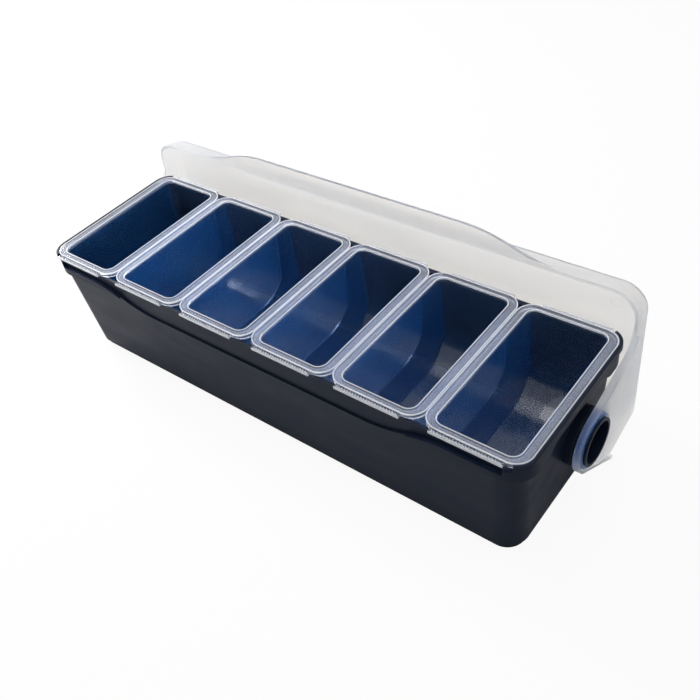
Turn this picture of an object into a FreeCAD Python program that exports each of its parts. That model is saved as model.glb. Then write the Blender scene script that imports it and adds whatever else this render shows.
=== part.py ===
import FreeCAD, Part
import math
import os
import Sketcher

# Driving dimensions in millimetres, angles in degrees
SIZES = {
    # Trough
    "base_height": 102,
    "flange_length": 484,
    "flange_depth": 151,
    "flange_corner": 22,
    "flange_thick": 5,
    "flange_round": 3,
    "corner_skirt": 13,
    "corner_reach": 24,
    "corner_ease": 24,
    "skirt_wall": 2.5,
    "end_overhang": 6,
    "side_overhang": 1,
    "body_corner": 18,
    "cavity_corner": 11,
    "end_draft": 2.3,
    "side_draft": 4.04,
    "end_wall": 2.6,
    "long_wall": 5,
    "floor_thick": 3.5,
    "foot_height": 5,
    "foot_inset": 2.5,
    "foot_wall": 3.5,
    "foot_corner": 15,
    "recess_end": 16,
    "recess_step": 41,
    "recess_ease": 75,
    "recess_deep": 3.7,
    "recess_shallow_drop": 7,
    "recess_full_drop": 21,
    # Hinge
    "hinge_back": 14,
    "hinge_below": 47.5,
    "boss_diameter": 46,
    "hub_diameter": 38,
    "hub_wall": 2.2,
    "hub_length": 7.3,
    "hub_pocket": 14,
    "hinge_fit": 0.05,
    "side_play": 0.3,
    # Lid, open
    "lid_gap": 1.5,
    "lid_wall": 2.4,
    "lid_clear": 21,
    "lid_cover": 10,
    "lift_gap": 0.7,
    "front_draft": 14.5,
    "back_draft": 15,
    "back_wall": 11,
    "lid_corner": 20,
    "lid_round": 6,
    "bead_width": 2.5,
    "brim_depth": 15.8,
    "brim_end": 52,
    "brim_ease": 88,
    "ear_radius": 25,
    "ear_hollow": 17,
    "ear_top": 58,
    "ear_foot": 0.65,
    "ear_fade": 0.3,
    "ear_slope": 16,
    "tail_inset": 27.2,
    "collar_diameter": 43,
    # Inserts
    "row_margin": 2,
    "insert_play": 0.6,
    "opening_gap": 16.6,
    "opening_corner": 7.5,
    "insert_wall": 1.5,
    "under_insert": 18,
    "scoop_radius": 36,
    "cup_draft": 3,
    "rim_inset": 4.3,
    "rim_width": 5.5,
    "rim_corner": 13,
    "rim_height": 4,
    "rim_plate": 2.2,
    "lip_width": 2.2,
    "tab_end": 12,
    "tab_shift": 2,
    "tab_inset": 1,
    "tab_low": 1,
    "tab_thick": 2,
    "tab_bead": 1.3,
    "groove_width": 1.3,
    "groove_deep": 1.2,
}
INSERT_COUNT = 6
DRAW_OVERLAP = 1

# Sizes that follow from the driving ones
LINKED = {
    "body_length": "flange_length - 2 * end_overhang",
    "body_depth": "flange_depth - 2 * side_overhang",
    "recess_length": "flange_length - 2 * recess_end",
    "recess_shallow_length": "recess_length - 2 * recess_step",
    "recess_full_length": "recess_shallow_length - 2 * recess_ease",
    "hinge_height": "base_height - hinge_below",
    "tab_reach": "flange_depth / 2 - tab_inset",
    "lid_reach": "flange_depth / 2 - hinge_back + lid_clear",
    "lid_rise": "flange_depth / 2 + hinge_back - lid_cover",
    "lid_skirt": "lid_reach + hinge_back - tab_reach - lift_gap",
    "tail_fall": "hinge_height - ear_foot",
    "tail_reach": "lid_reach - lid_skirt - tail_inset",
    "tail_bearing": "atan(tail_fall / tail_reach) / 1 deg",
    "tail_slope": "tail_bearing - asin(ear_radius / hypot(tail_fall; tail_reach)) / 1 deg",
    "lid_drop": "tail_fall - (lid_reach - tail_reach) * tan(back_draft * 1 deg)",
    "brim_length": "flange_length - 2 * brim_end",
    "brim_full_length": "brim_length - 2 * brim_ease",
    "insert_pitch": f"(flange_length - 2 * row_margin) / {INSERT_COUNT}",
    "opening_length": "insert_pitch - opening_gap",
    "rim_depth": "flange_depth - 2 * rim_inset",
    "opening_depth": "rim_depth - 2 * rim_width",
    "insert_deep": "base_height + rim_height - foot_height - floor_thick - under_insert",
    "tab_length": "insert_pitch - 2 * tab_end",
}
numbers = {}


class Size:
    """A length: its number now, and the sheet expression that drives it."""

    def __init__(self, number, text):
        self.number = number
        self.text = text

    def __add__(self, other):
        other = as_size(other)
        return Size(self.number + other.number, f"({self.text} + {other.text})")

    def __sub__(self, other):
        other = as_size(other)
        return Size(self.number - other.number, f"({self.text} - {other.text})")

    def __mul__(self, factor):
        factor = as_size(factor)
        return Size(self.number * factor.number, f"({self.text} * {factor.text})")

    def __truediv__(self, factor):
        return Size(self.number / factor, f"({self.text} / {factor})")

    def __neg__(self):
        return Size(-self.number, f"(0 - {self.text})")


def as_size(value):
    return value if isinstance(value, Size) else Size(value, str(value))


def size(name):
    return Size(numbers[name], f"Values.{name}")


def slope(name):
    """How far a drafted face leans for each millimetre of its height."""
    return Size(math.tan(math.radians(numbers[name])), f"tan(Values.{name} * 1 deg)")


def skin_share(name):
    """How far a drafted wall's inner edge lies in from its outer one, for each millimetre of skin."""
    return Size(math.tan(math.radians(45 - numbers[name] / 2)), f"tan((90 - Values.{name}) * 0.5 deg)")


def write_sheet(document):
    """Write the driving and the linked sizes, and keep the numbers that the sheet works out."""
    sheet = document.addObject("Spreadsheet::Sheet", "Values")
    cells = {name: str(number) for name, number in SIZES.items()}
    cells.update({name: "=" + formula for name, formula in LINKED.items()})
    for row, (name, content) in enumerate(cells.items(), start=1):
        sheet.set(f"A{row}", name)
        sheet.set(f"B{row}", content)
        sheet.setAlias(f"B{row}", name)
    document.recompute()
    for name in cells:
        numbers[name] = float(sheet.get(name))


def origin_part(body, role):
    return next(part for part in body.Origin.OriginFeatures if part.Role == role)


def new_body(document, name):
    body = document.addObject("PartDesign::Body", name)
    body.Label = name
    return body


def new_sketch(body, name, role, offset=None):
    """An empty sketch on one of the body's own planes, moved along that plane's normal."""
    sketch = body.newObject("Sketcher::SketchObject", name)
    sketch.AttachmentSupport = [(origin_part(body, role), "")]
    sketch.MapMode = "FlatFace"
    if offset is not None:
        sketch.setExpression("AttachmentOffset.Base.z", offset.text)
    return sketch


def bind(sketch, constraint, value):
    """Add a sized constraint and drive it from the sheet."""
    index = sketch.addConstraint(constraint)
    name = f"size_{index}"
    sketch.renameConstraint(index, name)
    sketch.setExpression(f"Constraints.{name}", value.text)


def hold(sketch, axis, geometry, end, value):
    """Hold one coordinate of a point at a signed distance from the sketch's origin."""
    kind = "Distance" + axis
    if value.number < 0:
        bind(sketch, Sketcher.Constraint(kind, geometry, end, -1, 1, -value.number), -value)
    else:
        bind(sketch, Sketcher.Constraint(kind, -1, 1, geometry, end, value.number), value)


def point(x, y):
    return FreeCAD.Vector(x, y, 0)


def line(sketch, start, end):
    return sketch.addGeometry(Part.LineSegment(point(*start), point(*end)))


def arc(sketch, centre, radius, start, end):
    """An arc that runs anticlockwise between two angles in degrees."""
    circle = Part.Circle(point(*centre), FreeCAD.Vector(0, 0, 1), radius)
    return sketch.addGeometry(Part.ArcOfCircle(circle, math.radians(start), math.radians(end)))


def rounded_box(sketch, left, right, low, high, radius):
    """A closed rectangle with round corners."""
    x0, x1, y0, y1 = left.number, right.number, low.number, high.number
    r = radius.number
    bottom = line(sketch, (x0 + r, y0), (x1 - r, y0))
    side_right = line(sketch, (x1, y0 + r), (x1, y1 - r))
    top = line(sketch, (x1 - r, y1), (x0 + r, y1))
    side_left = line(sketch, (x0, y1 - r), (x0, y0 + r))
    corners = [
        arc(sketch, (x1 - r, y0 + r), r, 270, 360),
        arc(sketch, (x1 - r, y1 - r), r, 0, 90),
        arc(sketch, (x0 + r, y1 - r), r, 90, 180),
        arc(sketch, (x0 + r, y0 + r), r, 180, 270),
    ]
    sides = [bottom, side_right, top, side_left]
    for before, corner, after in zip(sides, corners, sides[1:] + sides[:1]):
        sketch.addConstraint(Sketcher.Constraint("Tangent", before, 2, corner, 1))
        sketch.addConstraint(Sketcher.Constraint("Tangent", corner, 2, after, 1))
    for flat in (bottom, top):
        sketch.addConstraint(Sketcher.Constraint("Horizontal", flat))
    for upright in (side_right, side_left):
        sketch.addConstraint(Sketcher.Constraint("Vertical", upright))
    for corner in corners[1:]:
        sketch.addConstraint(Sketcher.Constraint("Equal", corners[0], corner))
    bind(sketch, Sketcher.Constraint("Radius", corners[0], r), radius)
    hold(sketch, "X", side_left, 1, left)
    hold(sketch, "X", side_right, 1, right)
    hold(sketch, "Y", bottom, 1, low)
    hold(sketch, "Y", top, 1, high)


def centred_box(sketch, length, depth, radius=None):
    """A rectangle about the origin, with round corners if a radius is given."""
    sides = (-length / 2, length / 2, -depth / 2, depth / 2)
    if radius is None:
        plain_box(sketch, *sides)
    else:
        rounded_box(sketch, *sides, radius)


def plain_box(sketch, left, right, low, high):
    """A closed rectangle with sharp corners."""
    x0, x1, y0, y1 = left.number, right.number, low.number, high.number
    sides = [
        line(sketch, (x0, y0), (x1, y0)),
        line(sketch, (x1, y0), (x1, y1)),
        line(sketch, (x1, y1), (x0, y1)),
        line(sketch, (x0, y1), (x0, y0)),
    ]
    for before, after in zip(sides, sides[1:] + sides[:1]):
        sketch.addConstraint(Sketcher.Constraint("Coincident", before, 2, after, 1))
    for index, side in enumerate(sides):
        sketch.addConstraint(Sketcher.Constraint("Vertical" if index % 2 else "Horizontal", side))
    hold(sketch, "X", sides[3], 1, left)
    hold(sketch, "X", sides[1], 1, right)
    hold(sketch, "Y", sides[0], 1, low)
    hold(sketch, "Y", sides[2], 1, high)


def polygon(sketch, corners):
    """A closed outline of straight sides with every corner held."""
    sides = []
    for start, end in zip(corners, corners[1:] + corners[:1]):
        sides.append(line(sketch, (start[0].number, start[1].number), (end[0].number, end[1].number)))
    for before, after in zip(sides, sides[1:] + sides[:1]):
        sketch.addConstraint(Sketcher.Constraint("Coincident", before, 2, after, 1))
    for side, (across, up) in zip(sides, corners):
        hold(sketch, "X", side, 1, across)
        hold(sketch, "Y", side, 1, up)


def circle(sketch, across, up, diameter):
    ring = sketch.addGeometry(
        Part.Circle(point(across.number, up.number), FreeCAD.Vector(0, 0, 1), diameter.number / 2)
    )
    bind(sketch, Sketcher.Constraint("Diameter", ring, diameter.number), diameter)
    hold(sketch, "X", ring, 3, across)
    hold(sketch, "Y", ring, 3, up)


def add_feature(body, kind, name):
    feature = body.newObject("PartDesign::" + kind, name)
    body.Tip = feature
    return feature


def extrude(body, kind, name, sketch, length, reverse=False):
    """A Pad or Pocket of a sketch, as long as the sheet says."""
    feature = add_feature(body, kind, name)
    feature.Profile = sketch
    feature.Reversed = reverse
    feature.setExpression("Length", length.text)
    sketch.Visibility = False
    return feature


def faces_where(feature, chosen):
    return [f"Face{n}" for n, face in enumerate(feature.Shape.Faces, start=1) if chosen(face.BoundBox)]


def level(low, high, height):
    """True where an edge's bounds lie flat at one height."""
    slack = 0.001
    return abs(low - height.number) < slack and abs(high - height.number) < slack


def either_end(low, high, half):
    """True where bounds lie flat at plus or minus a distance."""
    return level(low, high, half) or level(low, high, -half)


def spans(box, low, high):
    """True where an edge's bounds run from one height to another."""
    return level(box.ZMin, box.ZMin, low) and level(box.ZMax, box.ZMax, high)


def round_edges(body, name, chosen, radius):
    """Fillet the edges of the body so far that the given test chooses."""
    body.Document.recompute()
    before = body.Tip
    edges = [f"Edge{n}" for n, edge in enumerate(before.Shape.Edges, start=1) if chosen(edge.BoundBox)]
    feature = add_feature(body, "Fillet", name)
    feature.Base = (before, edges)
    feature.setExpression("Radius", radius.text)
    return feature


def lean_faces(body, name, chosen, height, angle):
    """Draft the chosen faces inwards below the level face at a height."""
    body.Document.recompute()
    before = body.Tip
    feature = add_feature(body, "Draft", name)
    feature.Base = (before, faces_where(before, chosen))
    feature.NeutralPlane = (before, faces_where(before, lambda b: level(b.ZMin, b.ZMax, height)))
    feature.Reversed = True
    feature.setExpression("Angle", angle.text)


def tapered_block(body, half_length, half_depth, low, high, end_draft, side_draft, corner):
    """A block about the upright axis that narrows downwards, with round upright corners."""
    outline = new_sketch(body, "block_outline", "XY_Plane", high)
    centred_box(outline, half_length * 2, half_depth * 2)
    extrude(body, "Pad", "block", outline, high - low, reverse=True)
    lean_faces(
        body, "end_taper", lambda b: either_end(b.XMin, b.XMax, half_length), high, size(end_draft)
    )
    lean_faces(
        body, "side_taper", lambda b: either_end(b.YMin, b.YMax, half_depth), high, size(side_draft)
    )
    round_edges(body, "upright_corners", lambda b: spans(b, low, high), corner)


def cut_with(body, name, tool):
    """Take another body's shape, drawn in the same coordinates, out of this one."""
    body.Document.recompute()
    cut = add_feature(body, "Boolean", name)
    cut.Type = "Cut"
    cut.setObjects([tool])


def mirror_ends(body, name, features):
    """Repeat features on the other end, across the plane halfway along the length."""
    feature = add_feature(body, "Mirrored", name)
    feature.Originals = features
    feature.MirrorPlane = (origin_part(body, "YZ_Plane"), [""])
    return feature


def wave(sketch, start, end):
    """Two equal arcs that ease from one level to another. Returns them with their outer ends."""
    run = end[0] - start[0]
    rise = end[1] - start[1]
    radius = (run * run + rise * rise) / (4 * abs(rise))
    sweep = 2 * math.degrees(math.atan(abs(rise) / run))
    if rise > 0:
        first = arc(sketch, (start[0], start[1] + radius), radius, 270, 270 + sweep)
        second = arc(sketch, (end[0], end[1] - radius), radius, 90, 90 + sweep)
    else:
        first = arc(sketch, (start[0], start[1] - radius), radius, 90 - sweep, 90)
        second = arc(sketch, (end[0], end[1] + radius), radius, 270 - sweep, 270)
    outer, inner = (1, 2) if rise > 0 else (2, 1)
    sketch.addConstraint(Sketcher.Constraint("Tangent", first, inner, second, inner))
    sketch.addConstraint(Sketcher.Constraint("Equal", first, second))
    return first, second, outer


def recess_outline(sketch):
    """Right half of the finger recess: shallow at the ends, deeper in the middle."""
    top = size("base_height") + DRAW_OVERLAP
    shallow = size("base_height") - size("recess_shallow_drop")
    full = size("base_height") - size("recess_full_drop")
    end = size("recess_length") / 2
    ease_in = size("recess_full_length") / 2
    ease_out = size("recess_shallow_length") / 2
    floor = line(sketch, (0, full.number), (ease_in.number, full.number))
    first, second, outer = wave(
        sketch, (ease_in.number, full.number), (ease_out.number, shallow.number)
    )
    step = line(sketch, (ease_out.number, shallow.number), (end.number, shallow.number))
    side = line(sketch, (end.number, shallow.number), (end.number, top.number))
    roof = line(sketch, (end.number, top.number), (0, top.number))
    middle = line(sketch, (0, top.number), (0, full.number))
    sketch.addConstraint(Sketcher.Constraint("Tangent", floor, 2, first, outer))
    sketch.addConstraint(Sketcher.Constraint("Tangent", second, outer, step, 1))
    for before, after in ((step, side), (side, roof), (roof, middle), (middle, floor)):
        sketch.addConstraint(Sketcher.Constraint("Coincident", before, 2, after, 1))
    for flat in (floor, step, roof):
        sketch.addConstraint(Sketcher.Constraint("Horizontal", flat))
    for upright in (side, middle):
        sketch.addConstraint(Sketcher.Constraint("Vertical", upright))
    sketch.addConstraint(Sketcher.Constraint("PointOnObject", middle, 1, -2))
    hold(sketch, "X", floor, 2, ease_in)
    hold(sketch, "X", step, 1, ease_out)
    hold(sketch, "X", side, 1, end)
    hold(sketch, "Y", floor, 1, full)
    hold(sketch, "Y", step, 1, shallow)
    hold(sketch, "Y", roof, 1, top)


def end_relief_outline(sketch):
    """The gap between the corner skirts on one end, with sides that ease up to the flange."""
    low = size("base_height") - size("corner_skirt") - DRAW_OVERLAP
    high = size("base_height") - size("flange_thick")
    wide = size("flange_depth") / 2 - size("corner_reach")
    narrow = wide - size("corner_ease")
    floor = line(sketch, (wide.number, low.number), (-wide.number, low.number))
    rise_in, rise_out, rise_end = wave(sketch, (-wide.number, low.number), (-narrow.number, high.number))
    roof = line(sketch, (-narrow.number, high.number), (narrow.number, high.number))
    fall_in, fall_out, fall_end = wave(sketch, (narrow.number, high.number), (wide.number, low.number))
    sketch.addConstraint(Sketcher.Constraint("Tangent", floor, 2, rise_in, rise_end))
    sketch.addConstraint(Sketcher.Constraint("Tangent", rise_out, rise_end, roof, 1))
    sketch.addConstraint(Sketcher.Constraint("Tangent", roof, 2, fall_in, fall_end))
    sketch.addConstraint(Sketcher.Constraint("Tangent", fall_out, fall_end, floor, 1))
    for flat in (floor, roof):
        sketch.addConstraint(Sketcher.Constraint("Horizontal", flat))
    hold(sketch, "X", floor, 1, wide)
    hold(sketch, "X", floor, 2, -wide)
    hold(sketch, "X", roof, 1, -narrow)
    hold(sketch, "X", roof, 2, narrow)
    hold(sketch, "Y", floor, 1, low)
    hold(sketch, "Y", roof, 1, high)


def make_base(document):
    inside = new_body(document, "base_trough_inside")
    tapered_block(
        inside,
        size("body_length") / 2 - size("end_wall"),
        size("body_depth") / 2 - size("long_wall"),
        size("foot_height") + size("floor_thick"),
        size("base_height"),
        "end_draft",
        "side_draft",
        size("cavity_corner"),
    )
    body = new_body(document, "base_trough")
    top = size("base_height")
    flange_low = top - size("flange_thick")
    skirt_low = top - size("corner_skirt")
    foot = size("foot_height")
    flange_half = size("flange_length") / 2
    body_half = size("body_length") / 2
    body_side = size("body_depth") / 2
    tapered_block(
        body, body_half, body_side, foot, flange_low, "end_draft", "side_draft", size("body_corner")
    )

    flange = new_sketch(body, "flange_outline", "XY_Plane", skirt_low)
    centred_box(flange, size("flange_length"), size("flange_depth"), size("flange_corner"))
    extrude(body, "Pad", "flange", flange, size("corner_skirt"))
    round_edges(body, "flange_edge", lambda b: level(b.ZMin, b.ZMax, top), size("flange_round"))

    drop = flange_low - foot
    foot_length = (body_half - drop * slope("end_draft") - size("foot_inset")) * 2
    foot_depth = (body_side - drop * slope("side_draft") - size("foot_inset")) * 2
    foot_outline = new_sketch(body, "foot_outline", "XY_Plane")
    centred_box(foot_outline, foot_length, foot_depth, size("foot_corner"))
    extrude(body, "Pad", "foot", foot_outline, foot)

    cavity_floor = foot + size("floor_thick")
    cut_with(body, "cavity", inside)
    step = size("foot_wall") * 2
    well = new_sketch(body, "foot_well_outline", "XY_Plane", cavity_floor)
    centred_box(well, foot_length - step, foot_depth - step, size("foot_corner") - size("foot_wall"))
    extrude(body, "Pocket", "foot_well", well, foot)

    overhang = flange_half - body_half
    relief = new_sketch(body, "end_relief_outline", "YZ_Plane", flange_half + DRAW_OVERLAP)
    end_relief_outline(relief)
    end_relief = extrude(body, "Pocket", "end_relief", relief, overhang + DRAW_OVERLAP)
    skirt_half = size("flange_depth") / 2 - size("flange_corner") + size("skirt_wall")
    skirt = new_sketch(body, "skirt_hollow_outline", "XY_Plane", skirt_low)
    plain_box(skirt, body_half, flange_half - size("skirt_wall"), -skirt_half, skirt_half)
    skirt_hollow = extrude(body, "Pocket", "skirt_hollow", skirt, flange_low - skirt_low, reverse=True)

    boss_face = flange_half + size("lid_gap") - size("side_play")
    back = size("hinge_back")
    height = size("hinge_height")
    boss_start = body_half - size("end_wall")
    boss_ring = new_sketch(body, "boss_outline", "YZ_Plane", boss_start)
    circle(boss_ring, back, height, size("boss_diameter"))
    boss = extrude(body, "Pad", "boss", boss_ring, boss_face - boss_start)
    hub_ring = new_sketch(body, "hub_outline", "YZ_Plane", boss_face)
    circle(hub_ring, back, height, size("hub_diameter"))
    hub = extrude(body, "Pad", "hub", hub_ring, size("hub_length"))
    bore_ring = new_sketch(body, "hub_bore_outline", "YZ_Plane", boss_face + size("hub_length"))
    circle(bore_ring, back, height, size("hub_diameter") - size("hub_wall") * 2)
    hub_bore = extrude(body, "Pocket", "hub_bore", bore_ring, size("hub_pocket"))
    mirror_ends(body, "other_end", [end_relief, skirt_hollow, boss, hub, hub_bore])

    front = new_sketch(body, "recess_outline", "XZ_Plane", size("flange_depth") / 2 + DRAW_OVERLAP)
    recess_outline(front)
    recess = extrude(body, "Pocket", "finger_recess", front, size("recess_deep") + DRAW_OVERLAP)
    mirror_ends(body, "recess_other_half", [recess])
    return body


def ear_outline(sketch, inset, fade, right, top, floor_end):
    """Side view of an ear: round end on the hinge axis, sloping sides, hollow blend into the cheek."""
    radius = size("ear_radius") - inset
    hollow = size("ear_hollow") + inset
    edge = size("lid_reach") - size("lid_skirt") - fade
    rise = math.radians(numbers["ear_slope"])
    fall = math.radians(numbers["tail_slope"])
    tilt = math.radians(numbers["back_draft"])
    r, h = radius.number, hollow.number
    blend_y = edge.number - h
    blend_z = (r + h + blend_y * math.sin(rise)) / math.cos(rise)
    crown_end = (blend_y + h * math.sin(rise), blend_z - h * math.cos(rise))
    crown_start = (-r * math.sin(rise), r * math.cos(rise))
    tail_end = (-r * math.sin(fall), -r * math.cos(fall))
    drop = tail_end[1] + tail_end[0] * math.tan(fall) - floor_end.number + right.number * math.tan(tilt)
    tail_y = drop / (math.tan(tilt) + math.tan(fall))
    tail_start = (tail_y, floor_end.number - (right.number - tail_y) * math.tan(tilt))

    shelf = line(sketch, (right.number, top.number), (edge.number, top.number))
    upright = line(sketch, (edge.number, top.number), (edge.number, blend_z))
    blend = arc(sketch, (blend_y, blend_z), h, numbers["ear_slope"] - 90, 0)
    crown = line(sketch, crown_start, crown_end)
    end = arc(sketch, (0, 0), r, 90 + numbers["ear_slope"], 270 - numbers["tail_slope"])
    tail = line(sketch, tail_start, tail_end)
    floor = line(sketch, tail_start, (right.number, floor_end.number))
    side = line(sketch, (right.number, floor_end.number), (right.number, top.number))

    sketch.addConstraint(Sketcher.Constraint("Coincident", side, 2, shelf, 1))
    sketch.addConstraint(Sketcher.Constraint("Coincident", shelf, 2, upright, 1))
    sketch.addConstraint(Sketcher.Constraint("Tangent", upright, 2, blend, 2))
    sketch.addConstraint(Sketcher.Constraint("Tangent", blend, 1, crown, 2))
    sketch.addConstraint(Sketcher.Constraint("Tangent", crown, 1, end, 1))
    sketch.addConstraint(Sketcher.Constraint("Tangent", end, 2, tail, 2))
    sketch.addConstraint(Sketcher.Constraint("Coincident", tail, 1, floor, 1))
    sketch.addConstraint(Sketcher.Constraint("Coincident", floor, 2, side, 1))
    sketch.addConstraint(Sketcher.Constraint("Coincident", end, 3, -1, 1))
    sketch.addConstraint(Sketcher.Constraint("Horizontal", shelf))
    for straight in (upright, side):
        sketch.addConstraint(Sketcher.Constraint("Vertical", straight))
    bind(sketch, Sketcher.Constraint("Radius", end, r), radius)
    bind(sketch, Sketcher.Constraint("Radius", blend, h), hollow)
    bind(sketch, Sketcher.Constraint("Angle", crown, rise), size("ear_slope"))
    bind(sketch, Sketcher.Constraint("Angle", tail, math.pi - fall), as_size(180) - size("tail_slope"))
    bind(sketch, Sketcher.Constraint("Angle", floor, tilt), size("back_draft"))
    hold(sketch, "X", upright, 1, edge)
    hold(sketch, "X", side, 1, right)
    hold(sketch, "Y", side, 1, floor_end)
    hold(sketch, "Y", shelf, 1, top)


def brim_outline(sketch):
    """Right half of the brim: a wide finger lip that eases down into the lid's front edge."""
    root = size("lid_rise") + size("lid_skirt") * slope("front_draft")
    tip = root + size("brim_depth")
    sunk = root - size("lid_wall") * slope("front_draft")
    low = root - size("lid_wall")
    full = size("brim_full_length") / 2
    ease = size("brim_length") / 2
    finish = ease + size("lid_wall")

    lip = line(sketch, (0, tip.number), (full.number, tip.number))
    first, second, outer = wave(sketch, (full.number, tip.number), (ease.number, sunk.number))
    edge = line(sketch, (ease.number, sunk.number), (finish.number, sunk.number))
    side = line(sketch, (finish.number, sunk.number), (finish.number, low.number))
    foot = line(sketch, (finish.number, low.number), (0, low.number))
    middle = line(sketch, (0, low.number), (0, tip.number))
    sketch.addConstraint(Sketcher.Constraint("Tangent", lip, 2, first, outer))
    sketch.addConstraint(Sketcher.Constraint("Tangent", second, outer, edge, 1))
    for before, after in ((edge, side), (side, foot), (foot, middle), (middle, lip)):
        sketch.addConstraint(Sketcher.Constraint("Coincident", before, 2, after, 1))
    for flat in (lip, edge, foot):
        sketch.addConstraint(Sketcher.Constraint("Horizontal", flat))
    for upright in (side, middle):
        sketch.addConstraint(Sketcher.Constraint("Vertical", upright))
    sketch.addConstraint(Sketcher.Constraint("PointOnObject", middle, 1, -2))
    hold(sketch, "X", lip, 2, full)
    hold(sketch, "X", edge, 1, ease)
    hold(sketch, "X", side, 1, finish)
    hold(sketch, "Y", lip, 1, tip)
    hold(sketch, "Y", edge, 1, sunk)
    hold(sketch, "Y", foot, 1, low)


def tray_block(body, skin, front):
    """The lid's outside, or its inside a skin smaller: a block that widens towards its open side."""
    half = size("flange_length") / 2 + size("lid_gap") + size("lid_wall") - skin
    back = size("lid_reach") - skin
    high = size("lid_rise") - skin * skin_share("front_draft")
    low = skin * skin_share("back_draft") - size("lid_drop")
    deep = back - front
    front_low = low - deep * slope("back_draft")
    front_high = high + deep * slope("front_draft")
    outline = new_sketch(body, "tray_outline", "YZ_Plane", -half)
    polygon(outline, [(front, front_low), (back, low), (back, high), (front, front_high)])
    extrude(body, "Pad", "tray", outline, half * 2)

    def at_front_corner(box):
        return spans(box, high, front_high)

    def round_the_panel(box):
        return level(box.YMin, box.YMax, back) and not level(box.ZMin, box.ZMax, low)

    round_edges(body, "front_corners", at_front_corner, size("lid_corner") - skin)
    round_edges(body, "panel_edge", round_the_panel, size("lid_round") - skin)


def make_lid(document):
    """The lid stands open behind the trough, drawn about its hinge axis."""
    wall = size("lid_wall")
    back = size("lid_reach")
    free_edge = back - size("lid_skirt")
    inner_half = size("flange_length") / 2 + size("lid_gap")
    outer_half = inner_half + wall
    bead_face = outer_half + size("bead_width")

    inside = new_body(document, "lid_inside")
    tray_block(inside, wall, free_edge - DRAW_OVERLAP)
    body = new_body(document, "lid")
    body.setExpression("Placement.Base.y", size("hinge_back").text)
    body.setExpression("Placement.Base.z", size("hinge_height").text)
    tray_block(body, as_size(0), free_edge)
    cut_with(body, "tray_inside", inside)
    low = -size("lid_drop")
    notch = new_sketch(body, "back_notch_outline", "XZ_Plane", -free_edge)
    plain_box(notch, -inner_half, inner_half, low - size("lid_skirt"), low)
    extrude(body, "Pocket", "back_notch", notch, size("lid_skirt") - size("back_wall"))

    ear_right = free_edge + DRAW_OVERLAP
    ear_floor = low - (back - ear_right) * slope("back_draft")
    profile = new_sketch(body, "ear_outline", "YZ_Plane", inner_half)
    ear_outline(profile, as_size(0), as_size(0), ear_right, size("ear_top"), ear_floor)
    ear = extrude(body, "Pad", "ear", profile, wall + size("bead_width"))
    panel = new_sketch(body, "ear_panel_outline", "YZ_Plane", bead_face)
    panel_right = ear_right + DRAW_OVERLAP
    ear_outline(
        panel, wall, size("ear_fade"), panel_right, size("ear_top") + DRAW_OVERLAP, ear_floor - DRAW_OVERLAP
    )
    ear_panel = extrude(body, "Pocket", "ear_panel", panel, size("bead_width"))
    collar_ring = new_sketch(body, "collar_outline", "YZ_Plane", outer_half)
    circle(collar_ring, as_size(0), as_size(0), size("collar_diameter"))
    collar = extrude(body, "Pad", "collar", collar_ring, size("bead_width"))
    hole_ring = new_sketch(body, "hinge_hole_outline", "YZ_Plane", bead_face)
    circle(hole_ring, as_size(0), as_size(0), size("hub_diameter") + size("hinge_fit") * 2)
    hole = extrude(body, "Pocket", "hinge_hole", hole_ring, wall + size("bead_width") + DRAW_OVERLAP)
    mirror_ends(body, "other_ear", [ear, ear_panel, collar, hole])

    lip = new_sketch(body, "brim_outline", "XZ_Plane", -free_edge)
    brim_outline(lip)
    brim = extrude(body, "Pad", "brim", lip, wall, reverse=True)
    mirror_ends(body, "brim_other_half", [brim])
    return body


def scoop_outline(sketch, half, low, radius):
    """What a scoop takes off the front of a block: the corner outside a large arc."""
    top = size("rim_height")
    clear = half + DRAW_OVERLAP
    lean = math.radians(numbers["cup_draft"])
    r = radius.number
    centre_z = low.number + r
    touch_z = centre_z - r * math.sin(lean)
    touch_y = half.number - (top.number - touch_z) * math.tan(lean)
    centre_y = touch_y - r * math.cos(lean)

    sweep = arc(sketch, (-centre_y, centre_z), r, 180 + numbers["cup_draft"], 270)
    floor = line(sketch, (-centre_y, low.number), (-clear.number, low.number))
    side = line(sketch, (-clear.number, low.number), (-clear.number, touch_z))
    roof = line(sketch, (-clear.number, touch_z), (-touch_y, touch_z))
    wall = line(sketch, (-touch_y, touch_z), (-half.number, top.number))
    sketch.setConstruction(wall, True)
    sketch.addConstraint(Sketcher.Constraint("Tangent", sweep, 2, floor, 1))
    sketch.addConstraint(Sketcher.Constraint("Coincident", floor, 2, side, 1))
    sketch.addConstraint(Sketcher.Constraint("Coincident", side, 2, roof, 1))
    sketch.addConstraint(Sketcher.Constraint("Coincident", roof, 2, sweep, 1))
    sketch.addConstraint(Sketcher.Constraint("Tangent", sweep, 1, wall, 1))
    for flat in (floor, roof):
        sketch.addConstraint(Sketcher.Constraint("Horizontal", flat))
    sketch.addConstraint(Sketcher.Constraint("Vertical", side))
    bind(sketch, Sketcher.Constraint("Radius", sweep, r), radius)
    bind(sketch, Sketcher.Constraint("Angle", wall, math.pi / 2 + lean), as_size(90) + size("cup_draft"))
    hold(sketch, "X", wall, 2, -half)
    hold(sketch, "Y", wall, 2, top)
    hold(sketch, "Y", floor, 1, low)
    hold(sketch, "X", side, 1, -clear)


def repeat_behind(body, name, features):
    """Repeat features half a turn round the upright axis."""
    pattern = add_feature(body, "PolarPattern", name)
    pattern.Originals = features
    pattern.Axis = (origin_part(body, "Z_Axis"), [""])
    pattern.Occurrences = 2


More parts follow.
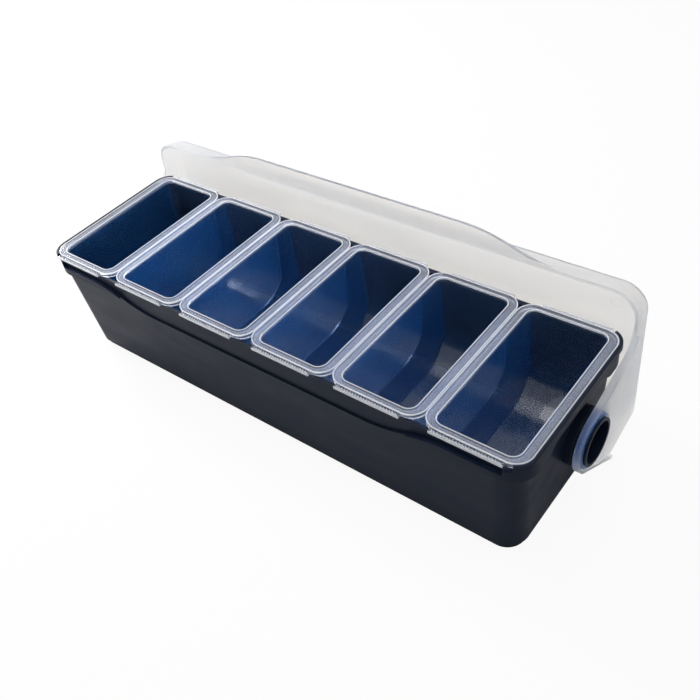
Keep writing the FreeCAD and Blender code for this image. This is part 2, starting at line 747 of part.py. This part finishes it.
def scooped_block(body, skin):
    """A tapered block with scooped front and back, larger than an insert's inside by a skin."""
    top = size("rim_height")
    low = top - size("insert_deep") + size("insert_wall") - skin
    half_length = size("opening_length") / 2 + skin
    half_depth = size("opening_depth") / 2 + skin
    corner = size("opening_corner") + skin
    tapered_block(body, half_length, half_depth, low, top, "cup_draft", "cup_draft", corner)
    profile = new_sketch(body, "scoop_outline", "YZ_Plane", half_length + DRAW_OVERLAP)
    scoop_outline(profile, half_depth, low, size("scoop_radius") + skin)
    scoop = extrude(body, "Pocket", "front_scoop", profile, (half_length + DRAW_OVERLAP) * 2)
    repeat_behind(body, "scoops", [scoop])


def make_insert(document, number):
    """A clear cup drawn about the middle of its seat on the flange."""
    wall = size("insert_wall")
    rim_top = size("rim_height")
    plate_low = rim_top - size("rim_plate")
    rim_length = size("insert_pitch") - size("insert_play")

    inside = new_body(document, f"insert_{number}_inside")
    scooped_block(inside, as_size(0))
    body = new_body(document, f"insert_{number}")
    place = number - (INSERT_COUNT + 1) / 2
    body.setExpression("Placement.Base.x", (size("insert_pitch") * place).text)
    body.setExpression("Placement.Base.z", size("base_height").text)
    scooped_block(body, wall)
    cut_with(body, "cup", inside)

    rim = new_sketch(body, "rim_outline", "XY_Plane", plate_low)
    centred_box(rim, rim_length, size("rim_depth"), size("rim_corner"))
    centred_box(
        rim, size("opening_length") + wall, size("opening_depth") + wall, size("opening_corner") + wall / 2
    )
    extrude(body, "Pad", "rim", rim, size("rim_plate"))
    lip = new_sketch(body, "lip_outline", "XY_Plane")
    inset = size("lip_width") * 2
    centred_box(lip, rim_length, size("rim_depth"), size("rim_corner"))
    centred_box(
        lip, rim_length - inset, size("rim_depth") - inset, size("rim_corner") - size("lip_width")
    )
    extrude(body, "Pad", "lip", lip, plate_low)

    tab_half = size("tab_length") / 2
    shift = size("tab_shift")
    tab = new_sketch(body, "tab_outline", "XY_Plane", size("tab_low"))
    plain_box(
        tab, -tab_half - shift, tab_half - shift,
        -size("tab_reach"), size("lip_width") / 2 - size("rim_depth") / 2,
    )
    front_tab = extrude(body, "Pad", "front_tab", tab, size("tab_thick"))
    bead = size("tab_bead")
    groove = new_sketch(body, "tab_groove_outline", "XY_Plane", size("tab_low") + size("tab_thick"))
    groove_front = bead - size("tab_reach")
    plain_box(
        groove, bead - tab_half - shift, tab_half - shift - bead,
        groove_front, groove_front + size("groove_width"),
    )
    tab_groove = extrude(body, "Pocket", "tab_groove", groove, size("groove_deep"))
    repeat_behind(body, "tabs", [front_tab, tab_groove])
    return body


def main():
    document = FreeCAD.newDocument("condiment_holder")
    write_sheet(document)
    bodies = [make_base(document), make_lid(document)]
    for number in range(1, INSERT_COUNT + 1):
        bodies.append(make_insert(document, number))
    document.recompute()
    for item in document.Objects:
        if "Invalid" in item.State or "Error" in item.State:
            raise RuntimeError(f"{item.Label} did not recompute: {item.State}")
    os.makedirs("parts", exist_ok=True)
    for body in bodies:
        if body.Shape.isNull() or not body.Shape.isValid():
            raise RuntimeError(f"{body.Label} has no valid shape")
        body.Shape.exportStep(f"parts/{body.Label}.step")


main()
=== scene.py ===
import math

import bmesh
import bpy
from mathutils import Matrix, Vector


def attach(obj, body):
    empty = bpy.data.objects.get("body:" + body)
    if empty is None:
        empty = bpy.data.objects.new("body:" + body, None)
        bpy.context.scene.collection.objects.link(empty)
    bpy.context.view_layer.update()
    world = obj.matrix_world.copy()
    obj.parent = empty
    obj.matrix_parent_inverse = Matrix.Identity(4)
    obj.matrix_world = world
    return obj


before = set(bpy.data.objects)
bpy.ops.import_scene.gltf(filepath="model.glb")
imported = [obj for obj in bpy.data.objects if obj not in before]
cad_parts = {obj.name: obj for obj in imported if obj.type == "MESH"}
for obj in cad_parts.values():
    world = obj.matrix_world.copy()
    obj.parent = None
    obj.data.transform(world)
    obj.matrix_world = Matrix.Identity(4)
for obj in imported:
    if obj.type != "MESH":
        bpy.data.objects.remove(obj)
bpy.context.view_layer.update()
scene = bpy.context.scene

# Camera of the photograph: place in metres, view angles in degrees, focal length in image widths
CAMERA_PLACE = Vector((0.4025, -0.3689, 0.5268))
VIEW_AZIMUTH = 44.533
VIEW_ELEVATION = 42.298
VIEW_ROLL = -9.944
FOCAL_WIDTHS = 853.476 / 700
SENSOR_WIDTH = 36

# The row of inserts, in metres
INSERT_COUNT = 6
INSERT_PITCH = 0.08
OPENING_HALF = (0.0317, 0.0657)
OPENING_CORNER = 0.0075
RIM_HALF = (0.0397, 0.0712)
RIM_CORNER = 0.013
SEAT_HEIGHT = 0.102
RIM_HEIGHT = 0.106
GROOVE_ENDS = (-0.0287, 0.0247)
GROOVE_SIDES = (-0.0732, -0.0719)
GROOVE_HEIGHTS = (0.1038, 0.1048)
RIB_COUNT = 21
RIB_HALF_WIDTHS = (0.0004, 0.0002)
# Where along each tab its front edge gets a painted highlight line, in metres
TAB_HIGHLIGHT = (0.0738, 0.0742)

# The heights between which the lid's milkiness halves, in metres: painted light that makes the lid's
# upper part render lighter
LID_LIGHTENING = (0.112, 0.14)

# The floor: its side in metres, and how much of it glows to the camera and in mirrored rays
FLOOR_SIZE = 12
FLOOR_SEEN = 0.93
FLOOR_MIRRORED = 0.1

# The raised lips round the end inserts: distance from the corner's middle, and height, in metres
LIP_OUTLINE = (
    (0.0133, 0.1018), (0.0134, 0.1058), (0.0138, 0.1062),
    (0.0153, 0.1062), (0.0158, 0.1057), (0.0160, 0.1018),
)
LIP_CORNER = (0.2267, 0.0582)
LIP_TURN = 68
LIP_STEPS = 12

# Small moulded rings, in metres
RING_STEPS = 48
RING_SIDES = 6
MARK_CENTRE = Vector((0.222, 0.0941, 0.1125))
MARK_RADIUS = 0.0045
MARK_TUBE = 0.00015
HINGE_PLACE = Vector((0, 0.014, 0.0545))
BOSS_RADIUS = 0.023
BOSS_RING_PLACE = 0.2408
BOSS_RING_TUBE = 0.0003


def add_camera():
    azimuth = math.radians(VIEW_AZIMUTH)
    elevation = math.radians(VIEW_ELEVATION)
    roll = math.radians(VIEW_ROLL)
    back = Vector((
        math.sin(azimuth) * math.cos(elevation),
        -math.cos(azimuth) * math.cos(elevation),
        math.sin(elevation),
    ))
    level = Vector((math.cos(azimuth), math.sin(azimuth), 0))
    right = level * math.cos(roll) + back.cross(level) * math.sin(roll)
    up = back.cross(right)
    data = bpy.data.cameras.new("camera")
    data.sensor_fit = "HORIZONTAL"
    data.sensor_width = SENSOR_WIDTH
    data.lens = SENSOR_WIDTH * FOCAL_WIDTHS
    data.clip_start = 0.01
    data.clip_end = 50
    camera = bpy.data.objects.new("camera", data)
    turn = Matrix((right, up, back)).transposed().to_4x4()
    camera.matrix_world = Matrix.Translation(CAMERA_PLACE) @ turn
    scene.collection.objects.link(camera)
    scene.camera = camera


class Surface:
    """A material, and the nodes that vary it over the object."""

    def __init__(self, name):
        self.material = bpy.data.materials.new(name)
        self.material.use_nodes = True
        self.nodes = self.material.node_tree.nodes
        self.links = self.material.node_tree.links
        self.shader = self.nodes["Principled BSDF"]
        self.place = self.nodes.new("ShaderNodeTexCoord").outputs["Object"]

    def put(self, node, values):
        """Give a node's inputs their values, or link them to other nodes' outputs."""
        for name, value in values.items():
            socket = node.inputs[name]
            if isinstance(value, bpy.types.NodeSocket):
                self.links.new(value, socket)
            else:
                socket.default_value = value

    def add(self, kind, values):
        node = self.nodes.new(kind)
        self.put(node, values)
        return node

    def noise(self, scale, detail, stretch=None):
        place = self.place
        if stretch:
            place = self.add("ShaderNodeMapping", {"Vector": place, "Scale": stretch}).outputs[0]
        return self.add(
            "ShaderNodeTexNoise", {"Vector": place, "Scale": scale, "Detail": detail}
        ).outputs[0]

    def spread(self, value, low, high, start, end):
        """Carry a value from one range to another, held at its ends."""
        return self.add("ShaderNodeMapRange", {
            "Value": value, "From Min": low, "From Max": high, "To Min": start, "To Max": end,
        }).outputs[0]

    def blend(self, factor, first, second):
        """A colour between two others."""
        node = self.nodes.new("ShaderNodeMix")
        node.data_type = "RGBA"
        self.put(node, {0: factor, 6: first, 7: second})
        return node.outputs[2]

    def maths(self, operation, *values):
        node = self.nodes.new("ShaderNodeMath")
        node.operation = operation
        self.put(node, dict(enumerate(values)))
        return node.outputs[0]

    def vectors(self, operation, *values):
        node = self.nodes.new("ShaderNodeVectorMath")
        node.operation = operation
        self.put(node, dict(enumerate(values)))
        return node

    def bump(self, height, strength, distance):
        return self.add(
            "ShaderNodeBump", {"Height": height, "Strength": strength, "Distance": distance}
        ).outputs[0]

    def edges(self, radius):
        """Nearly 1 along sharp edges and 0 away from them."""
        bevel = self.add("ShaderNodeBevel", {"Radius": radius})
        flat = self.nodes.new("ShaderNodeNewGeometry").outputs["Normal"]
        alike = self.vectors("DOT_PRODUCT", bevel.outputs[0], flat).outputs["Value"]
        return self.spread(alike, 0.98, 0.78, 0, 1)

    def mix(self, factor, first, second):
        return self.add("ShaderNodeMixShader", {0: factor, 1: first, 2: second}).outputs[0]

    def show(self, shader):
        self.put(self.nodes["Material Output"], {"Surface": shader})

    def let_lamps_through(self, shader, tint):
        """Let the light of lamps pass what is clear."""
        path = self.nodes.new("ShaderNodeLightPath")
        clear = self.add("ShaderNodeBsdfTransparent", {"Color": tint})
        self.show(self.mix(path.outputs["Is Shadow Ray"], shader, clear.outputs[0]))


def trough_surface():
    """Dark navy moulded plastic with a fine grain, faint scuffs and a painted highlight along its edges.
    """
    surface = Surface("trough_plastic")
    broad = surface.noise(7, 3)
    scuffs = surface.noise(22, 4, (1, 2, 3))
    grain = surface.noise(1500, 2)
    # Painted highlight: along sharp edges the colour turns lighter and the roughness lower
    painted_edge_highlight = surface.edges(0.0012)
    colour = surface.blend(broad, (0.004, 0.009, 0.024, 1), (0.008, 0.014, 0.032, 1))
    roughness = surface.spread(scuffs, 0.3, 0.7, 0.38, 0.47)
    surface.put(surface.shader, {
        "Base Color": surface.blend(painted_edge_highlight, colour, (0.022, 0.026, 0.036, 1)),
        "Roughness": surface.maths("SUBTRACT", roughness, surface.maths("MULTIPLY", painted_edge_highlight, 0.12)),
        "Specular IOR Level": 0.1,
        "Normal": surface.bump(grain, 0.025, 0.0002),
    })
    return surface.material


def from_outline(surface, across, along, half, corner):
    """How far a point lies outside a rectangle with round corners."""
    beyond = surface.add("ShaderNodeCombineXYZ", {"X": across, "Y": along}).outputs[0]
    core = (half[0] - corner, half[1] - corner, 0)
    outside = surface.vectors("MAXIMUM", surface.vectors("SUBTRACT", beyond, core).outputs[0], (0, 0, 0))
    reach = surface.vectors("LENGTH", outside.outputs[0]).outputs["Value"]
    return surface.maths("SUBTRACT", reach, corner)


def insert_surface():
    """Clear plastic with a blue haze, a milky rim, painted highlight lines along its edges and painted
    light on its side walls.
    """
    surface = Surface("insert_plastic")
    parts = surface.add("ShaderNodeSeparateXYZ", {"Vector": surface.place}).outputs
    half_pitch = INSERT_PITCH / 2
    column = surface.maths("SUBTRACT", parts[0], half_pitch)
    across = surface.maths("ABSOLUTE", surface.maths("WRAP", column, half_pitch, -half_pitch))
    along = surface.maths("ABSOLUTE", parts[1])
    inner = from_outline(surface, across, along, OPENING_HALF, OPENING_CORNER)
    outer = from_outline(surface, across, along, RIM_HALF, RIM_CORNER)
    top = surface.spread(parts[2], SEAT_HEIGHT - 0.001, SEAT_HEIGHT + 0.0002, 0, 1)
    top = surface.maths("MULTIPLY", top, surface.spread(inner, 0, 0.0002, 0, 1))
    tab = surface.spread(outer, 0.0003, 0.0006, 0, 1)
    rim = surface.maths("MULTIPLY", top, surface.maths("SUBTRACT", 1, tab))
    # Painted highlight lines along the rim's inner and outer top edges and the tabs' front edges
    inner_highlight = surface.spread(inner, 0.0007, 0.0013, 1, 0)
    outer_highlight = surface.spread(outer, -0.0012, -0.0007, 0, 1)
    tab_highlight = surface.spread(along, *TAB_HIGHLIGHT, 0, 1)
    edge_highlight = surface.maths("MULTIPLY", surface.maths("MAXIMUM", inner_highlight, outer_highlight), rim)
    upper = surface.spread(parts[2], RIM_HEIGHT - 0.0007, RIM_HEIGHT - 0.0003, 0, 1)
    edge_highlight = surface.maths("MULTIPLY", edge_highlight, upper)
    edge_highlight = surface.maths("MAXIMUM", edge_highlight, surface.maths("MULTIPLY", tab_highlight, top))

    clouds = surface.noise(26, 3)
    scratches = surface.noise(60, 4, (1, 1, 7))
    waves = surface.noise(45, 1)
    surface.put(surface.shader, {
        "Base Color": (0.97, 0.985, 1, 1),
        "Roughness": surface.spread(scratches, 0.4, 0.75, 0.035, 0.12),
        "IOR": 1.46,
        "Transmission Weight": 1,
        "Normal": surface.bump(waves, 0.08, 0.0005),
    })
    # Painted light: walls facing along x get a bluer haze colour than the scoops
    facing = surface.nodes.new("ShaderNodeNewGeometry").outputs["Normal"]
    facing = surface.add("ShaderNodeSeparateXYZ", {"Vector": facing}).outputs[0]
    side = surface.spread(surface.maths("ABSOLUTE", facing), 0.75, 0.85, 0, 1)
    wall_haze_with_painted_light = surface.blend(side, (0.07, 0.18, 0.36, 1), (0.012, 0.14, 0.42, 1))
    haze_colour = surface.blend(top, wall_haze_with_painted_light, (0.50, 0.55, 0.69, 1))
    # The painted highlight lines get a near-white haze at a share of 0.65
    haze = surface.add("ShaderNodeBsdfPrincipled", {
        "Base Color": surface.blend(edge_highlight, haze_colour, (0.95, 0.96, 1, 1)),
        "Roughness": 0.3,
    })
    # Haze shares: the side walls get more haze than the scoops, as painted light
    scoop_haze = surface.spread(clouds, 0.3, 0.7, 0.03, 0.06)
    lit_side_haze = surface.spread(clouds, 0.3, 0.7, 0.13, 0.19)
    rim_haze = surface.spread(clouds, 0.3, 0.7, 0.13, 0.18)
    share = surface.add("ShaderNodeMix", {0: side, 2: scoop_haze, 3: lit_side_haze}).outputs[0]
    share = surface.add("ShaderNodeMix", {0: rim, 2: share, 3: rim_haze}).outputs[0]
    share = surface.add("ShaderNodeMix", {0: edge_highlight, 2: share, 3: 0.65}).outputs[0]
    shader = surface.mix(share, surface.shader.outputs[0], haze.outputs[0])
    surface.let_lamps_through(shader, (0.75, 0.82, 0.92, 1))
    return surface.material


def rib_surface():
    """The insert's plastic where it is thin and scatters the light."""
    surface = Surface("rib_plastic")
    wear = surface.noise(300, 2)
    surface.put(surface.shader, {
        "Base Color": surface.blend(wear, (0.72, 0.76, 0.86, 1), (0.84, 0.86, 0.92, 1)),
        "Roughness": surface.spread(wear, 0.3, 0.7, 0.22, 0.36),
        "IOR": 1.46,
        "Transmission Weight": 0.4,
    })
    return surface.material


def lid_surface():
    """Frosted translucent plastic: white over white, bluish over the dark trough, with painted shade
    over the hinge boss and painted light on its upper part.
    """
    surface = Surface("lid_plastic")
    clouds = surface.noise(9, 3)
    flow = surface.noise(14, 2, (1, 5, 5))
    frost = surface.noise(900, 2)
    bump = surface.bump(frost, 0.10, 0.0002)
    surface.put(surface.shader, {
        "Base Color": (1, 0.965, 0.91, 1),
        "Roughness": surface.spread(flow, 0.3, 0.7, 0.36, 0.46),
        "IOR": 1.25,
        "Transmission Weight": 1,
        "Normal": bump,
    })
    # Painted shade: over the dark hinge boss the milk turns deep blue and takes a larger share, in place
    # of the boss seen through the lid
    from_hinge = surface.vectors("SUBTRACT", surface.place, HINGE_PLACE).outputs[0]
    from_hinge = surface.vectors("MULTIPLY", from_hinge, (0, 1, 1)).outputs[0]
    from_hinge = surface.vectors("LENGTH", from_hinge).outputs["Value"]
    boss_shade = surface.spread(from_hinge, BOSS_RADIUS - 0.0015, BOSS_RADIUS + 0.0005, 1, 0)
    white = surface.blend(clouds, (0.50, 0.63, 0.88, 1), (0.58, 0.69, 0.90, 1))
    milk = surface.add("ShaderNodeBsdfPrincipled", {
        "Base Color": surface.blend(boss_shade, white, (0.03, 0.17, 0.60, 1)),
        "Roughness": 0.45,
        "Normal": bump,
    })
    # Painted light: the lid's upper part gets half the milk, so it renders lighter
    height = surface.add("ShaderNodeSeparateXYZ", {"Vector": surface.place}).outputs[2]
    lightening = surface.spread(height, *LID_LIGHTENING, 1, 0.5)
    share = surface.maths("MULTIPLY", surface.spread(flow, 0.3, 0.7, 0.13, 0.18), lightening)
    share = surface.add("ShaderNodeMix", {0: boss_shade, 2: share, 3: 0.42}).outputs[0]
    shader = surface.mix(share, surface.shader.outputs[0], milk.outputs[0])
    surface.let_lamps_through(shader, (0.6, 0.6, 0.58, 1))
    return surface.material


def paint(node, material):
    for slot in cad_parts[node].material_slots:
        slot.material = material


def add_piece(name, shape, body, material):
    """A new mesh that moves with a body and takes the finish of a slot."""
    mesh = bpy.data.meshes.new(name)
    shape.to_mesh(mesh)
    shape.free()
    mesh.materials.append(material)
    piece = bpy.data.objects.new(name, mesh)
    scene.collection.objects.link(piece)
    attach(piece, body)


def add_rib(shape, middle, sides, heights, turn):
    """A thin rib across a tab's groove, narrower at its top."""
    corners = []
    for height, half in zip(heights, RIB_HALF_WIDTHS):
        for across, along in ((-half, sides[0]), (half, sides[0]), (half, sides[1]), (-half, sides[1])):
            spot = Vector(((middle[0] + across) * turn, along * turn, height))
            corners.append(shape.verts.new(spot + Vector((middle[1], 0, 0))))
    for ring in ((3, 2, 1, 0), (4, 5, 6, 7), (0, 1, 5, 4), (1, 2, 6, 5), (2, 3, 7, 6), (3, 0, 4, 7)):
        shape.faces.new([corners[index] for index in ring])


def add_ribs(number, material):
    """The fine ribs in the grooves of one insert's two tabs."""
    shape = bmesh.new()
    place = (number - (INSERT_COUNT + 1) / 2) * INSERT_PITCH
    step = (GROOVE_ENDS[1] - GROOVE_ENDS[0]) / (RIB_COUNT + 1)
    for turn in (1, -1):
        for index in range(RIB_COUNT):
            along = GROOVE_ENDS[0] + step * (index + 1)
            add_rib(shape, (along, place), GROOVE_SIDES, GROOVE_HEIGHTS, turn)
    add_piece(f"insert_{number}_ribs", shape, f"insert_{number}", material)


def add_lip(name, end, material):
    """The trough's raised lip along one end and round its two corners."""
    shape = bmesh.new()
    path = []
    for side in (-1, 1):
        for step in range(LIP_STEPS + 1):
            turn = step if side > 0 else LIP_STEPS - step
            path.append((side, math.radians(LIP_TURN * turn / LIP_STEPS)))
    rows = []
    for side, turn in path:
        row = []
        for reach, height in LIP_OUTLINE:
            across = LIP_CORNER[0] + reach * math.cos(turn)
            along = LIP_CORNER[1] + reach * math.sin(turn)
            row.append(shape.verts.new((across * end, along * side, height)))
        rows.append(row)
    count = len(LIP_OUTLINE)
    for before, after in zip(rows, rows[1:]):
        for index in range(count):
            shape.faces.new((before[index], after[index], after[index - 1], before[index - 1]))
    shape.faces.new(rows[0])
    shape.faces.new(rows[-1])
    bmesh.ops.recalc_face_normals(shape, faces=shape.faces)
    add_piece(name, shape, "trough", material)


def add_ring(name, centre, axes, radius, tube, body, material):
    """A thin raised ring round a centre, in the plane of two axes."""
    shape = bmesh.new()
    normal = axes[0].cross(axes[1])
    rings = []
    for step in range(RING_STEPS):
        turn = math.tau * step / RING_STEPS
        outward = axes[0] * math.cos(turn) + axes[1] * math.sin(turn)
        ring = []
        for side in range(RING_SIDES):
            roll = math.tau * side / RING_SIDES
            spot = outward * (radius + tube * math.cos(roll)) + normal * tube * math.sin(roll)
            ring.append(shape.verts.new(centre + spot))
        rings.append(ring)
    for before, after in zip(rings, rings[1:] + rings[:1]):
        for side in range(RING_SIDES):
            shape.faces.new((before[side], after[side], after[side - 1], before[side - 1]))
    bmesh.ops.recalc_face_normals(shape, faces=shape.faces)
    add_piece(name, shape, body, material)


def add_floor():
    bpy.ops.mesh.primitive_plane_add(size=FLOOR_SIZE, location=(0, 0, 0))
    floor = bpy.context.object
    floor.name = "floor"
    surface = Surface("floor_paint")
    surface.put(surface.shader, {"Base Color": (0.9, 0.9, 0.9, 1), "Roughness": 0.9})
    glow = surface.add("ShaderNodeEmission", {"Color": (1, 1, 1, 1), "Strength": 1})
    path = surface.nodes.new("ShaderNodeLightPath").outputs
    seen = surface.maths("MAXIMUM", path["Is Camera Ray"], path["Is Transmission Ray"])
    share = surface.maths("MULTIPLY", seen, FLOOR_SEEN)
    mirrored = surface.maths("MULTIPLY", path["Is Glossy Ray"], FLOOR_MIRRORED)
    share = surface.maths("MAXIMUM", share, mirrored)
    surface.show(surface.mix(share, surface.shader.outputs[0], glow.outputs[0]))
    floor.data.materials.append(surface.material)


def add_world():
    world = bpy.data.worlds.new("studio")
    scene.world = world
    world.use_nodes = True
    nodes = world.node_tree.nodes
    links = world.node_tree.links
    nodes["Background"].inputs["Color"].default_value = (1, 1, 1, 1)
    nodes["Background"].inputs["Strength"].default_value = 0.2
    seen = nodes.new("ShaderNodeBackground")
    seen.inputs["Color"].default_value = (1, 1, 1, 1)
    seen.inputs["Strength"].default_value = 1
    path = nodes.new("ShaderNodeLightPath")
    first = nodes.new("ShaderNodeMath")
    first.operation = "MAXIMUM"
    second = nodes.new("ShaderNodeMath")
    second.operation = "MAXIMUM"
    mix = nodes.new("ShaderNodeMixShader")
    links.new(path.outputs["Is Camera Ray"], first.inputs[0])
    links.new(path.outputs["Is Glossy Ray"], first.inputs[1])
    links.new(first.outputs[0], second.inputs[0])
    links.new(path.outputs["Is Transmission Ray"], second.inputs[1])
    links.new(second.outputs[0], mix.inputs["Fac"])
    links.new(nodes["Background"].outputs["Background"], mix.inputs[1])
    links.new(seen.outputs["Background"], mix.inputs[2])
    links.new(mix.outputs["Shader"], nodes["World Output"].inputs["Surface"])


def add_lamp(name, place, target, size, power):
    data = bpy.data.lights.new(name, "AREA")
    data.shape = "SQUARE"
    data.size = size
    data.energy = power
    lamp = bpy.data.objects.new(name, data)
    lamp.location = place
    aim = Vector(target) - Vector(place)
    lamp.rotation_euler = aim.to_track_quat("-Z", "Y").to_euler()
    scene.collection.objects.link(lamp)


scene.view_settings.view_transform = "Standard"
add_camera()
add_floor()
add_world()
add_lamp("key_lamp", (-1.1, 0.1, 0.8), (0, 0, 0.05), 0.5, 18)
add_lamp("top_lamp", (0.2, 0, 1.7), (0, 0, 0.05), 1.2, 9)

dark_plastic = trough_surface()
paint("base_trough", dark_plastic)
for name, end in (("right_boss_ring", 1), ("left_boss_ring", -1)):
    centre = HINGE_PLACE + Vector((BOSS_RING_PLACE * end, 0, 0))
    axes = (Vector((0, 1, 0)), Vector((0, 0, 1)))
    add_ring(name, centre, axes, BOSS_RADIUS, BOSS_RING_TUBE, "trough", dark_plastic)

add_lip("right_end_lip", 1, dark_plastic)
add_lip("left_end_lip", -1, dark_plastic)

frosted_plastic = lid_surface()
paint("lid", frosted_plastic)
axes = (Vector((1, 0, 0)), Vector((0, 0, 1)))
add_ring("lid_mould_mark", MARK_CENTRE, axes, MARK_RADIUS, MARK_TUBE, "lid", frosted_plastic)

clear_plastic = insert_surface()
rib_plastic = rib_surface()
for number in range(1, INSERT_COUNT + 1):
    paint(f"insert_{number}", clear_plastic)
    add_ribs(number, rib_plastic)
